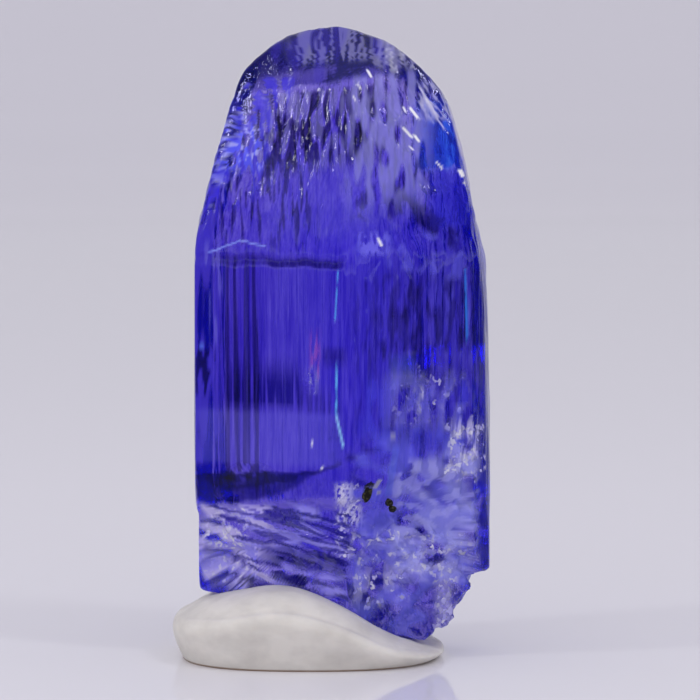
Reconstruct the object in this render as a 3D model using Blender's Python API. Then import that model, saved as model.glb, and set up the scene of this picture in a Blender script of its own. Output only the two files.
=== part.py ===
"""Rough tanzanite crystal standing in a pressed pad of mounting putty.

The crystal is one solid: a striated eight-sided prism, a domed and etched
upper end, and a broken foot. Its shape is the space behind a set of flat
facets, less a number of shell-shaped fractures, with striae, pits, chips and
grooves cut into the surface. The putty pad is a second solid that carries an
imprint of the foot. The front of the model faces -Y.

All shape values are in millimetres and degrees, measured from the crystal's
axis and the floor. MM turns them into metres where the meshes are made.
"""

import math
from dataclasses import dataclass

import bmesh
import bpy
import numpy as np
from mathutils import Vector, noise

MM = 0.001
OBJECT_NAME = "rough_tanzanite"

# Where the crystal's axis stands, so that the origin is under the middle of the whole.
AXIS_X = 0.32
AXIS_Y = 0.0

# The crystal's mesh: columns around it, and rows from its lowest point to its top.
# The rows of the foot and of the dome spread like a fan from a centre on the axis.
CRYSTAL_COLUMNS = 94
FOOT_ROWS = 13
PRISM_ROWS = 17
DOME_ROWS = 15
FOOT_CENTRE = 4.5
DOME_CENTRE = 15.5
FARTHEST = 14.0
BISECTIONS = 26

# How tightly the facets meet, per millimetre: a higher value is a sharper edge.
PRISM_SHARPNESS = 30.0
DOME_SHARPNESS = 16.0
FOOT_SHARPNESS = 20.0

# The putty pad: a flat underside, a bulging side and a top, as shares of its rows.
PAD_CENTRE_X = -1.08
PAD_CENTRE_Y = 0.0
PAD_HALF_LENGTH = 4.02
PAD_HALF_DEPTH = 3.3
PAD_SQUARENESS = 2.5
PAD_BULGE = 0.34
PAD_COLUMNS = 48
PAD_ROWS = 18
PAD_UNDER_SHARE = 0.3
PAD_SIDE_SHARE = 0.4

# The pad's upper edge: places along its length, and the height at each.
PAD_TOP_PLACES = (-5.3, -3.6, -2.2, -1.2, 0.2, 1.4, 2.9)
PAD_TOP_HEIGHTS = (1.75, 2.10, 2.45, 2.35, 1.75, 0.95, 0.42)

# The cutter that presses the foot into the pad, with the gap it leaves.
IMPRINT_GAP = 0.4
IMPRINT_COLUMNS = 48
IMPRINT_ROWS = 12
IMPRINT_TOP = 6.0

# The ways that the sides of the prism face in plan.
FRONT_LEFT = -110.1
FRONT_RIGHT = -75.2
RIGHT_FRONT = -34.6
RIGHT_RIM = -5.0
RIGHT = 2.0
BACK_RIGHT = 66.8
BACK = 95.2
BACK_LEFT = 144.0
LEFT = 180.0
ROOF = -92.0
DOWN = -90.0


@dataclass(frozen=True)
class Facet:
    """A flat face of the crystal, with the material behind it.

    azimuth is the way it faces in plan and lean how far its normal tilts up.
    reach and height place one of its points from the crystal's axis and the floor.
    """

    azimuth: float
    lean: float
    reach: float
    height: float = 0.0

    def normal(self):
        turn = math.radians(self.azimuth)
        tilt = math.radians(self.lean)
        flat = math.cos(tilt)
        return np.array((flat * math.cos(turn), flat * math.sin(turn), math.sin(tilt)))

    def point(self):
        turn = math.radians(self.azimuth)
        return np.array((self.reach * math.cos(turn), self.reach * math.sin(turn), self.height))

    def depth(self, points):
        """How far the points lie outside the facet."""
        return (points - self.point()) @ self.normal()


@dataclass(frozen=True)
class Scoop:
    """A shell-shaped fracture: the hollow that a ball presses into a facet at the front or back.

    side and height give the middle of the hollow, radius is the ball's, and cut
    is how deep it goes.
    """

    facet: Facet
    side: float
    height: float
    radius: float
    cut: float

    def centre(self):
        normal = self.facet.normal()
        level = normal @ self.facet.point()
        forward = (level - normal[0] * self.side - normal[2] * self.height) / normal[1]
        return np.array((self.side, forward, self.height)) + normal * (self.radius - self.cut)

    def depth(self, points):
        return self.radius - np.linalg.norm(points - self.centre(), axis=1)


@dataclass(frozen=True)
class Waves:
    """Uneven relief between two heights, drawn out along the crystal.

    across and along are the lengths of its waves. Where pitted, only its deeper
    half is cut, and the rest stays flat.
    """

    cut: float
    across: float
    along: float
    seed: float
    low: float
    high: float
    blend: float
    pitted: bool = False

    def depth(self, points):
        scale = np.array((1.0 / self.across, 1.0 / self.across, 1.0 / self.along))
        value = np.array([noise.noise(Vector(place)) for place in points * scale + self.seed])
        if self.pitted:
            value = np.maximum(value, 0.0)
        return self.cut * value * band(points[:, 2], self.low, self.high, self.blend)


@dataclass(frozen=True)
class Groove:
    """An even cut into the front or the sides, bounded by two heights and two places across."""

    cut: float
    low: float
    high: float
    left: float
    right: float
    end_blend: float
    side_blend: float
    back_end: float = 0.0

    def depth(self, points):
        tall = band(points[:, 2], self.low, self.high, self.end_blend)
        wide = band(points[:, 0], self.left, self.right, self.side_blend)
        forward = band(points[:, 1], -FARTHEST, self.back_end, self.side_blend)
        return self.cut * tall * wide * forward


PRISM = (
    Facet(FRONT_LEFT, 0.0, 2.459),
    Facet(FRONT_RIGHT, 0.0, 2.501),
    Facet(RIGHT_FRONT, 0.0, 4.227),
    Facet(RIGHT, 0.0, 4.72),
    Facet(BACK_RIGHT, 0.0, 3.243),
    Facet(BACK, 0.0, 2.997),
    Facet(BACK_LEFT, 0.0, 4.338),
    Facet(LEFT, 0.0, 4.67),
)

# The dome: each side of the prism breaks back in steeper and steeper facets, and one
# broad roof facet slopes from the front to the crest.
DOME_FRONT_LEFT = Facet(FRONT_LEFT, 10.0, 2.459, 13.15)
DOME_FRONT_RIGHT = Facet(FRONT_RIGHT, 10.0, 2.501, 13.15)
SHOULDER_FRONT_RIGHT = Facet(FRONT_RIGHT, 22.0, 1.937, 16.35)
DOME = (
    Facet(LEFT, 14.0, 4.67, 13.55),
    Facet(LEFT, 21.0, 3.50, 18.00),
    Facet(LEFT, 47.0, 2.92, 19.02),
    Facet(LEFT, 60.0, 1.98, 19.75),
    Facet(LEFT, 80.0, 0.40, 20.20),
    Facet(RIGHT_RIM, 2.0, 4.53, 12.60),
    Facet(RIGHT_RIM, 11.0, 4.35, 13.40),
    Facet(RIGHT_RIM, 22.0, 3.56, 17.25),
    Facet(RIGHT, 42.0, 2.94, 18.45),
    Facet(RIGHT, 53.0, 2.08, 19.28),
    Facet(RIGHT, 72.0, 0.80, 19.94),
    DOME_FRONT_LEFT,
    Facet(FRONT_LEFT, 22.0, 1.895, 16.35),
    DOME_FRONT_RIGHT,
    SHOULDER_FRONT_RIGHT,
    Facet(ROOF, 44.0, 1.200, 18.25),
    Facet(RIGHT_FRONT, 12.0, 4.227, 13.60),
    Facet(RIGHT_FRONT, 30.0, 3.420, 17.60),
    Facet(BACK_RIGHT, 11.0, 3.243, 12.90),
    Facet(BACK_RIGHT, 24.0, 2.350, 17.60),
    Facet(BACK, 12.0, 2.997, 12.50),
    Facet(BACK, 22.0, 1.950, 17.60),
    Facet(BACK_LEFT, 14.0, 4.338, 13.30),
    Facet(BACK_LEFT, 20.0, 3.341, 17.30),
)

# The foot: the sloping break that rests in the putty, and the steep breaks beside it.
FOOT_FRONT_LEFT = Facet(FRONT_LEFT, -14.0, 2.300, 5.30)
FOOT_FRONT_RIGHT = Facet(FRONT_RIGHT, -9.0, 2.480, 6.30)
FOOT = (
    Facet(LEFT, -78.6, 4.45, 2.00),
    Facet(RIGHT, -55.0, 2.72, 0.62),
    Facet(RIGHT, -25.0, 3.50, 1.17),
    FOOT_FRONT_LEFT,
    FOOT_FRONT_RIGHT,
    Facet(BACK, -20.0, 2.800, 3.60),
    Facet(BACK_LEFT, -12.0, 4.300, 3.80),
)

# The thin second crystal grown on the right side, which ends in a flat step.
SLAB = (
    Facet(LEFT, 0.0, -4.08),
    Facet(LEFT, DOWN, 0.0, 2.82),
)

SCOOPS = (
    Scoop(PRISM[0], -2.9, 5.05, 3.0, 0.34),
    Scoop(FOOT_FRONT_LEFT, -1.7, 3.50, 2.4, 0.32),
    Scoop(FOOT_FRONT_LEFT, -3.6, 3.00, 1.8, 0.24),
    Scoop(FOOT_FRONT_RIGHT, 2.3, 4.85, 3.0, 0.34),
    Scoop(FOOT_FRONT_RIGHT, 1.0, 2.60, 2.4, 0.30),
    Scoop(FOOT_FRONT_RIGHT, 0.6, 4.70, 1.3, 0.18),
    Scoop(DOME_FRONT_RIGHT, 3.0, 15.60, 1.5, 0.16),
    Scoop(SHOULDER_FRONT_RIGHT, 2.2, 16.80, 1.3, 0.17),
    Scoop(SHOULDER_FRONT_RIGHT, 1.3, 17.70, 1.1, 0.15),
    Scoop(DOME_FRONT_LEFT, -2.7, 15.60, 2.0, 0.13),
    Scoop(PRISM[5], -1.6, 4.40, 3.2, 0.35),
    Scoop(PRISM[4], 2.7, 8.80, 2.8, 0.25),
)

# Striae along the prism, etch pits in the dome, and chips in the foot.
WAVES = (
    Waves(0.085, 0.95, 14.0, 3.1, 4.6, 18.0, 1.6),
    Waves(0.060, 0.45, 9.0, 17.3, 4.6, 18.0, 1.6),
    Waves(0.300, 0.66, 1.8, 41.7, 13.2, 18.2, 1.2, pitted=True),
    Waves(0.200, 1.10, 0.8, 63.2, -1.0, 5.3, 0.9, pitted=True),
    Waves(0.070, 0.55, 0.5, 29.4, -1.0, 5.3, 0.9),
)

# The crack across the front left face, the step low on the left side, and the seam
# between the crystal and the slab on its right.
GROOVES = (
    Groove(0.13, 12.70, 13.05, -6.0, 0.0, 0.25, 0.5),
    Groove(0.07, -1.0, 4.72, -6.0, -4.0, 0.3, 0.5, back_end=FARTHEST),
    Groove(0.12, 2.6, 12.6, 3.84, 4.10, 1.0, 0.16),
)


def meet(depths, sharpness):
    """The space behind every one of the faces, with their edges eased by the sharpness."""
    stack = np.stack(depths)
    most = stack.max(axis=0)
    return most + np.log(np.exp((stack - most) * sharpness).sum(axis=0)) / sharpness


def crystal_depth(points):
    """How far the points lie outside the crystal, before its relief."""
    prism = meet([facet.depth(points) for facet in PRISM], PRISM_SHARPNESS)
    dome = meet([facet.depth(points) for facet in DOME], DOME_SHARPNESS)
    foot = meet([facet.depth(points) for facet in FOOT], FOOT_SHARPNESS)
    upper = meet([prism, dome], PRISM_SHARPNESS)
    main = meet([upper, foot], FOOT_SHARPNESS)
    slab = meet([upper] + [facet.depth(points) for facet in SLAB], PRISM_SHARPNESS)
    depth = np.minimum(main, slab)
    for scoop in SCOOPS:
        depth = np.maximum(depth, scoop.depth(points))
    return depth


def band(value, low, high, blend):
    """One between low and high, and zero outside them, over a smooth blend."""
    rise = np.clip((value - low) / blend + 0.5, 0.0, 1.0)
    fall = np.clip((high - value) / blend + 0.5, 0.0, 1.0)
    return rise * rise * (3.0 - 2.0 * rise) * fall * fall * (3.0 - 2.0 * fall)


def relief(points):
    """How deep the surface is cut at each of its points."""
    return sum(cut.depth(points) for cut in WAVES + GROOVES)


def prism_corners():
    """The corners of the prism's outline in plan, each between a side and the next one."""
    corners = []
    for first, second in zip(PRISM, PRISM[1:] + PRISM[:1]):
        sides = np.stack([first.normal()[:2], second.normal()[:2]])
        corners.append(np.linalg.solve(sides, np.array((first.reach, second.reach))))
    return np.array(corners)


def column_azimuths(columns):
    """Directions for the columns: one at each corner of the prism, and the rest evenly apart."""
    corners = prism_corners()
    onward = np.roll(corners, -1, axis=0)
    lengths = np.linalg.norm(onward - corners, axis=1)
    ends = np.round(np.cumsum(lengths) / lengths.sum() * columns).astype(int)
    outline = []
    start = 0
    for corner, following, end in zip(corners, onward, ends):
        share = np.arange(end - start) / (end - start)
        outline.append(corner + share[:, None] * (following - corner))
        start = end
    outline = np.concatenate(outline)
    return np.arctan2(outline[:, 1], outline[:, 0])


def rays(columns, foot_rows, prism_rows, dome_rows, rings, turns):
    """The start and direction of each vertex's ray, from the grid's ring and turn numbers."""
    rows = foot_rows + prism_rows + dome_rows
    into_foot = np.clip(rings / foot_rows, 0.0, 1.0)
    up_prism = np.clip((rings - foot_rows) / prism_rows, 0.0, 1.0)
    into_dome = np.clip((rings - rows + dome_rows) / dome_rows, 0.0, 1.0)
    tilt = (into_foot - 1.0 + into_dome) * math.pi / 2.0
    azimuth = column_azimuths(columns)[turns % columns]
    start = np.zeros((len(rings), 3))
    start[:, 2] = FOOT_CENTRE + up_prism * (DOME_CENTRE - FOOT_CENTRE)
    flat = np.cos(tilt)
    direction = np.stack([flat * np.cos(azimuth), flat * np.sin(azimuth), np.sin(tilt)], axis=1)
    return start, direction


def surface_reach(start, direction, level):
    """How far each ray runs before it leaves the crystal grown by level."""
    inside = np.zeros(len(start))
    outside = np.full(len(start), FARTHEST)
    for _ in range(BISECTIONS):
        middle = (inside + outside) / 2.0
        out = crystal_depth(start + middle[:, None] * direction) > level
        outside = np.where(out, middle, outside)
        inside = np.where(out, inside, middle)
    return (inside + outside) / 2.0


def grid_numbers(sphere, columns, rows):
    """The ring and turn number of each vertex of a UV sphere of radius one."""
    points = np.array([vertex.co[:] for vertex in sphere.verts])
    rings = np.arcsin(np.clip(points[:, 2], -1.0, 1.0)) / math.pi * rows + rows / 2.0
    turns = np.arctan2(points[:, 1], points[:, 0]) / (2.0 * math.pi) * columns
    return np.rint(rings).astype(int), np.rint(turns).astype(int)


def shaped_sphere(name, columns, rows, shape):
    """A mesh made from a UV sphere, whose vertices go to the points that shape gives for them."""
    sphere = bmesh.new()
    bmesh.ops.create_uvsphere(sphere, u_segments=columns, v_segments=rows, radius=1.0)
    rings, turns = grid_numbers(sphere, columns, rows)
    for vertex, point in zip(sphere.verts, shape(rings, turns)):
        vertex.co = Vector((point[0] + AXIS_X, point[1] + AXIS_Y, point[2])) * MM
    bmesh.ops.recalc_face_normals(sphere, faces=sphere.faces)
    mesh = bpy.data.meshes.new(name)
    sphere.to_mesh(mesh)
    sphere.free()
    return mesh


def crystal_points(rings, turns):
    """The crystal's surface with its relief, which is cut along the rays."""
    start, direction = rays(CRYSTAL_COLUMNS, FOOT_ROWS, PRISM_ROWS, DOME_ROWS, rings, turns)
    reach = surface_reach(start, direction, 0.0)
    plain = start + reach[:, None] * direction
    return plain - relief(plain)[:, None] * direction


def imprint_points(rings, turns):
    """The foot of the crystal, grown by the gap that stays between it and the putty."""
    half_rows = IMPRINT_ROWS // 2
    start, direction = rays(IMPRINT_COLUMNS, half_rows, 1, half_rows - 1, rings, turns)
    start[:, 2] = FOOT_CENTRE
    reach = surface_reach(start, direction, IMPRINT_GAP)
    points = start + reach[:, None] * direction
    points[:, 2] = np.minimum(points[:, 2], IMPRINT_TOP)
    return points


def pad_points(rings, turns):
    """A pressed lump with a flat underside, which bulges out a little above the floor."""
    share = rings / PAD_ROWS
    azimuth = turns * 2.0 * math.pi / PAD_COLUMNS
    cosine = np.cos(azimuth)
    sine = np.sin(azimuth)
    power = 2.0 / PAD_SQUARENESS
    along = np.sign(cosine) * np.abs(cosine) ** power
    across = np.sign(sine) * np.abs(sine) ** power
    top_share = 1.0 - PAD_UNDER_SHARE - PAD_SIDE_SHARE
    under = np.clip(share / PAD_UNDER_SHARE, 0.0, 1.0)
    up_side = np.clip((share - PAD_UNDER_SHARE) / PAD_SIDE_SHARE, 0.0, 1.0)
    over = np.clip((share - 1.0 + top_share) / top_share, 0.0, 1.0)
    spread = under * (1.0 - over)
    bulge = PAD_BULGE * np.sin(up_side * math.pi)
    x = PAD_CENTRE_X + along * (PAD_HALF_LENGTH * spread + bulge)
    y = PAD_CENTRE_Y + across * (PAD_HALF_DEPTH * spread + bulge)
    z = np.interp(x, PAD_TOP_PLACES, PAD_TOP_HEIGHTS) * np.sin(up_side * math.pi / 2.0)
    return np.stack([x, y, z], axis=1)


def material(name, colour, roughness, transmission=0.0, ior=1.5):
    made = bpy.data.materials.new(name)
    made.use_nodes = True
    shader = made.node_tree.nodes["Principled BSDF"]
    shader.inputs["Base Color"].default_value = (*colour, 1.0)
    shader.inputs["Roughness"].default_value = roughness
    shader.inputs["Metallic"].default_value = 0.0
    shader.inputs["Transmission Weight"].default_value = transmission
    shader.inputs["IOR"].default_value = ior
    return made


def add_object(name, mesh, collection, finish):
    made = bpy.data.objects.new(name, mesh)
    collection.objects.link(made)
    mesh.materials.append(finish)
    return made


def build():
    for old in list(bpy.data.objects):
        bpy.data.objects.remove(old)
    collection = bpy.data.collections.new(OBJECT_NAME)
    cutters = bpy.data.collections.new("cutters")
    bpy.context.scene.collection.children.link(collection)
    bpy.context.scene.collection.children.link(cutters)

    violet = material("violet_crystal", (0.06, 0.04, 0.42), 0.05, transmission=1.0, ior=1.695)
    chalk = material("mounting_putty", (0.80, 0.77, 0.75), 0.55)

    rows = FOOT_ROWS + PRISM_ROWS + DOME_ROWS
    crystal_mesh = shaped_sphere("tanzanite_crystal", CRYSTAL_COLUMNS, rows, crystal_points)
    add_object("tanzanite_crystal", crystal_mesh, collection, violet)

    pad_mesh = shaped_sphere("putty_pad", PAD_COLUMNS, PAD_ROWS, pad_points)
    pad = add_object("putty_pad", pad_mesh, collection, chalk)

    imprint_mesh = shaped_sphere("foot_imprint", IMPRINT_COLUMNS, IMPRINT_ROWS, imprint_points)
    imprint = add_object("foot_imprint", imprint_mesh, cutters, chalk)
    imprint.hide_render = True
    imprint.display_type = "WIRE"

    press = pad.modifiers.new("press_in_the_foot", "BOOLEAN")
    press.operation = "DIFFERENCE"
    press.object = imprint


build()
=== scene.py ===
"""Looks of a rough tanzanite crystal that stands in a pressed pad of mounting putty.

The crystal is one clear violet-blue solid: a striated prism, an etched dome and
a broken foot. It holds a few flakes of graphite, and it stands in white putty.
Form values are in millimetres from the crystal's axis and the surface it stands
on; MM turns them into metres where the meshes are made. The front faces -Y.
"""

from __future__ import annotations

import logging
import math
from collections.abc import Callable, Mapping, Sequence
from dataclasses import dataclass
from enum import Enum
from functools import partial

import bpy
import bmesh
import numpy as np
from mathutils import Matrix, Vector, noise


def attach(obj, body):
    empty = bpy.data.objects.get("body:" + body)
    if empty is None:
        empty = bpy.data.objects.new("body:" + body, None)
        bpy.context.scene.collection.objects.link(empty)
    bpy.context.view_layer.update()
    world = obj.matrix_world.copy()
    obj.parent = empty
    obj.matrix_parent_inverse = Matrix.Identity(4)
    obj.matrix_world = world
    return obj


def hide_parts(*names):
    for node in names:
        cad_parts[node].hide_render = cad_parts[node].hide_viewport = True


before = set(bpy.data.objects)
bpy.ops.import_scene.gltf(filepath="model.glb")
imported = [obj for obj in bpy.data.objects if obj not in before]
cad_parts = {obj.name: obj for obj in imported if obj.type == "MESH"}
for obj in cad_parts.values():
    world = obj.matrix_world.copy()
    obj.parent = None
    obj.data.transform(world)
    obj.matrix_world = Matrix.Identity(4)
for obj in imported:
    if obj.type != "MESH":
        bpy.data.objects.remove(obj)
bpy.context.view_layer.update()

LOG = logging.getLogger("tanzanite")
MM = 0.001
MERGE_DISTANCE = 1e-8
Colour = tuple[float, float, float]

# Where the crystal's axis stands in the frame.
AXIS = np.array((0.32, 0.0, 0.0))

# The ways that the sides of the prism face in plan, in degrees.
FRONT_LEFT = -110.1
FRONT_RIGHT = -75.2
RIGHT_FRONT = -34.6
RIGHT_RIM = -5.0
RIGHT = 2.0
BACK_RIGHT = 66.8
BACK = 95.2
BACK_LEFT = 144.0
LEFT = 180.0
ROOF = -92.0
DOWN = -90.0

# What picks the tilt of each cell of broken ground, from zero to one round a middle, and how
# steep it is in a faceted grain.
CELL_STEP = 37.0
CELL_MIDDLE = (0.5, 0.5, 0.5)
CELL_SLOPE = 2.0

# The two waves of a swaying edge, in radians for each millimetre, and the finer one's size.
SWAY_WAVE = 4.1
SWAY_RIPPLE = 9.7
RIPPLE_SIZE = 0.6


def eased(value: np.ndarray) -> np.ndarray:
    """Values held between zero and one, with a soft start and end."""
    held = np.clip(value, 0.0, 1.0)
    return held * held * (3.0 - 2.0 * held)


class Profile(Enum):
    """How the noise of a relief or a grain is turned into its height."""

    EVEN = "hills and hollows alike"
    PITTED = "only the hollows"
    RIDGED = "sharp ridges between round hollows"
    FACETED = "a flat tilted face for each cell"


@dataclass(frozen=True)
class Grain:
    """Noise that is drawn out along the crystal.

    across and along are the lengths of its waves in millimetres, and deep is their
    length from front to back where it isn't across. tilt turns them in the plane of
    the front, in degrees, and seed picks another part of the noise.
    """

    across: float
    along: float
    seed: float
    profile: Profile = Profile.EVEN
    tilt: float = 0.0
    deep: float | None = None

    def values(self, points: np.ndarray) -> np.ndarray:
        """Reads the grain.

        Args:
            points: Places in millimetres.

        Returns:
            The grain's height at each of them, from about -1 to 1.
        """
        turn = math.radians(self.tilt)
        right = points[:, 0] * math.cos(turn) + points[:, 2] * math.sin(turn)
        up = points[:, 2] * math.cos(turn) - points[:, 0] * math.sin(turn)
        placed = np.stack([right, points[:, 1], up], axis=1)
        placed = placed / np.array((self.across, self.deep or self.across, self.along)) + self.seed
        if self.profile is Profile.FACETED:
            return np.array([self.tilted_face(Vector(place)) for place in placed])
        value = np.array([noise.noise(Vector(place)) for place in placed])
        if self.profile is Profile.PITTED:
            return np.maximum(value, 0.0)
        if self.profile is Profile.RIDGED:
            return 1.0 - 2.0 * np.abs(value)
        return value

    @staticmethod
    def tilted_face(place: Vector) -> float:
        """Reads the flat face of the cell that a place lies in.

        Args:
            place: The place, counted in waves.

        Returns:
            The height of the face there.
        """
        cell = noise.voronoi(place)[1][0]
        slope = noise.cell_vector(cell * CELL_STEP) - Vector(CELL_MIDDLE)
        return (place - cell).dot(slope) * CELL_SLOPE + slope.z


@dataclass(frozen=True)
class Window:
    """A part of the surface.

    left, right, low and high bound it across and in height, and back is how far
    to the rear it goes. climb raises its low and high edges for each millimetre to
    the right, slant shifts its sides to the right for each millimetre up, bow lifts
    the low edge with the square of the distance from bow_at, and sway makes the low
    and high edges wander.
    """

    left: float = -9.0
    right: float = 9.0
    low: float = -1.0
    high: float = 21.0
    side_blend: float = 0.3
    low_blend: float = 0.3
    high_blend: float = 0.3
    back: float = 9.0
    climb: float = 0.0
    slant: float = 0.0
    bow: float = 0.0
    bow_at: float = 0.0
    sway: float = 0.0

    def share(self, points: np.ndarray) -> np.ndarray:
        """Tells how far places belong to the part.

        Args:
            points: Places in millimetres.

        Returns:
            One for each place inside the part, easing to zero at its edges.
        """
        x, y, z = points.T
        wander = self.sway * (np.sin(x * SWAY_WAVE + self.low) + RIPPLE_SIZE * np.sin(x * SWAY_RIPPLE))
        height = z - self.climb * x - wander
        lifted = height - self.bow * (x - self.bow_at) ** 2
        side = x - self.slant * (z - self.low)
        share = eased((side - self.left) / self.side_blend + 0.5)
        share = share * eased((self.right - side) / self.side_blend + 0.5)
        share = share * eased((lifted - self.low) / self.low_blend + 0.5)
        share = share * eased((self.high - height) / self.high_blend + 0.5)
        return share * (y < self.back)


def front(*edges: float, **shape: float) -> Window:
    """A window that lies on the front of the crystal alone."""
    return Window(*edges, back=0.0, **shape)


@dataclass(frozen=True)
class Facet:
    """A flat face of the crystal, with the material behind it.

    azimuth is the way it faces in plan and lean how far its normal tilts up.
    reach and height place one of its points from the crystal's axis and the floor.
    """

    azimuth: float
    lean: float
    reach: float
    height: float = 0.0

    def normal(self) -> np.ndarray:
        """Works out which way the facet faces.

        Returns:
            Its outward normal.
        """
        turn = math.radians(self.azimuth)
        tilt = math.radians(self.lean)
        flat = math.cos(tilt)
        return np.array((flat * math.cos(turn), flat * math.sin(turn), math.sin(tilt)))

    def point(self) -> np.ndarray:
        """The point of the facet that reach and height give."""
        turn = math.radians(self.azimuth)
        return np.array((self.reach * math.cos(turn), self.reach * math.sin(turn), self.height))

    def depth(self, points: np.ndarray) -> np.ndarray:
        """How far the points lie outside the facet."""
        return (points - self.point()) @ self.normal()

    def forward(self, side: float, height: float) -> float:
        """Finds the facet from the front.

        Args:
            side: A place across.
            height: A height.

        Returns:
            The facet's Y there.
        """
        normal = self.normal()
        level = normal @ self.point()
        return float((level - normal[0] * side - normal[2] * height) / normal[1])


@dataclass(frozen=True)
class Scoop:
    """A shell-shaped fracture: the hollow that a ball presses into a facet.

    side and height give the middle of the hollow, radius is the ball's, and cut
    is how deep it goes.
    """

    facet: Facet
    side: float
    height: float
    radius: float
    cut: float

    def depth(self, points: np.ndarray) -> np.ndarray:
        """Measures how far places lie inside the ball.

        Args:
            points: Places in millimetres.

        Returns:
            The distance of each from the ball's surface.
        """
        middle = np.array((self.side, self.facet.forward(self.side, self.height), self.height))
        centre = middle + self.facet.normal() * (self.radius - self.cut)
        return self.radius - np.linalg.norm(points - centre, axis=1)


@dataclass(frozen=True)
class Relief:
    """A cut into the surface inside a window, even or shaped by a grain."""

    cut: float
    where: Window
    grain: Grain | None = None

    def depth(self, points: np.ndarray) -> np.ndarray:
        """Measures the cut.

        Args:
            points: Places on the uncut surface, in millimetres.

        Returns:
            How deep the relief cuts at each of them.
        """
        share = self.where.share(points)
        inside = share > 0.0
        if self.grain is not None:
            share[inside] *= self.grain.values(points[inside])
        return self.cut * share


def meet(depths: Sequence[np.ndarray], sharpness: float) -> np.ndarray:
    """Joins several faces into the space behind every one of them.

    Args:
        depths: How far the points lie outside each face.
        sharpness: How tightly the faces meet, per millimetre.

    Returns:
        How far the points lie outside the shape they bound.
    """
    stack = np.stack(depths)
    most = stack.max(axis=0)
    return most + np.log(np.exp((stack - most) * sharpness).sum(axis=0)) / sharpness


@dataclass(frozen=True)
class RayGrid:
    """Columns of rays round the crystal, in rows from its lowest point to its top.

    Each stop gives a row, the height that its rays start from and their tilt in
    degrees. side_shares says how closely the columns stand on each prism face.
    """

    columns: int
    stops: tuple[tuple[int, float, float], ...]
    side_shares: tuple[float, ...] = (1.0,) * 8

    @property
    def rows(self) -> int:
        """The number of rows of faces."""
        return self.stops[-1][0]


DOME_FRONT_LEFT = Facet(FRONT_LEFT, 10.0, 2.459, 13.15)
DOME_FRONT_RIGHT = Facet(FRONT_RIGHT, 10.0, 2.501, 13.15)
SHOULDER_FRONT_RIGHT = Facet(FRONT_RIGHT, 22.0, 1.937, 16.35)
FOOT_FRONT_LEFT = Facet(FRONT_LEFT, -14.0, 2.300, 5.30)
FOOT_FRONT_RIGHT = Facet(FRONT_RIGHT, -9.0, 2.480, 6.30)
PRISM = (
    Facet(FRONT_LEFT, 0.0, 2.459),
    Facet(FRONT_RIGHT, 0.0, 2.501),
    Facet(RIGHT_FRONT, 0.0, 4.227),
    Facet(RIGHT, 0.0, 4.72),
    Facet(BACK_RIGHT, 0.0, 3.243),
    Facet(BACK, 0.0, 2.997),
    Facet(BACK_LEFT, 0.0, 4.338),
    Facet(LEFT, 0.0, 4.67),
)
DOME = (
    Facet(LEFT, 14.0, 4.67, 13.55),
    Facet(LEFT, 21.0, 3.50, 18.00),
    Facet(LEFT, 47.0, 2.92, 19.02),
    Facet(LEFT, 60.0, 1.98, 19.75),
    Facet(LEFT, 80.0, 0.40, 20.20),
    Facet(RIGHT_RIM, 2.0, 4.53, 12.60),
    Facet(RIGHT_RIM, 11.0, 4.35, 13.40),
    Facet(RIGHT_RIM, 22.0, 3.56, 17.25),
    Facet(RIGHT, 42.0, 2.94, 18.45),
    Facet(RIGHT, 53.0, 2.08, 19.28),
    Facet(RIGHT, 72.0, 0.80, 19.94),
    DOME_FRONT_LEFT,
    Facet(FRONT_LEFT, 22.0, 1.895, 16.35),
    DOME_FRONT_RIGHT,
    SHOULDER_FRONT_RIGHT,
    Facet(ROOF, 44.0, 1.200, 18.25),
    Facet(RIGHT_FRONT, 12.0, 4.227, 13.60),
    Facet(RIGHT_FRONT, 30.0, 3.420, 17.60),
    Facet(BACK_RIGHT, 11.0, 3.243, 12.90),
    Facet(BACK_RIGHT, 24.0, 2.350, 17.60),
    Facet(BACK, 12.0, 2.997, 12.50),
    Facet(BACK, 22.0, 1.950, 17.60),
    Facet(BACK_LEFT, 14.0, 4.338, 13.30),
    Facet(BACK_LEFT, 20.0, 3.341, 17.30),
)
FOOT = (
    Facet(LEFT, -78.6, 4.45, 2.00),
    Facet(RIGHT, -55.0, 2.72, 0.62),
    Facet(RIGHT, -25.0, 3.50, 1.17),
    FOOT_FRONT_LEFT,
    FOOT_FRONT_RIGHT,
    Facet(BACK, -20.0, 2.800, 3.60),
    Facet(BACK_LEFT, -12.0, 4.300, 3.80),
)
SLAB = (
    Facet(LEFT, 0.0, -4.08),
    Facet(LEFT, DOWN, 0.0, 2.82),
)
SCOOPS = (
    Scoop(PRISM[0], -2.9, 5.05, 3.0, 0.34),
    Scoop(FOOT_FRONT_LEFT, -1.7, 3.50, 2.4, 0.32),
    Scoop(FOOT_FRONT_LEFT, -3.6, 3.00, 1.8, 0.24),
    Scoop(FOOT_FRONT_RIGHT, 2.3, 4.85, 3.0, 0.34),
    Scoop(FOOT_FRONT_RIGHT, 1.0, 2.60, 2.4, 0.30),
    Scoop(FOOT_FRONT_RIGHT, 0.6, 4.70, 1.3, 0.18),
    Scoop(DOME_FRONT_RIGHT, 3.0, 15.60, 1.5, 0.16),
    Scoop(SHOULDER_FRONT_RIGHT, 2.2, 16.80, 1.3, 0.17),
    Scoop(SHOULDER_FRONT_RIGHT, 1.3, 17.70, 1.1, 0.15),
    Scoop(DOME_FRONT_LEFT, -2.7, 15.60, 2.0, 0.13),
    Scoop(PRISM[5], -1.6, 4.40, 3.2, 0.35),
    Scoop(PRISM[4], 2.7, 8.80, 2.8, 0.25),
)

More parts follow.
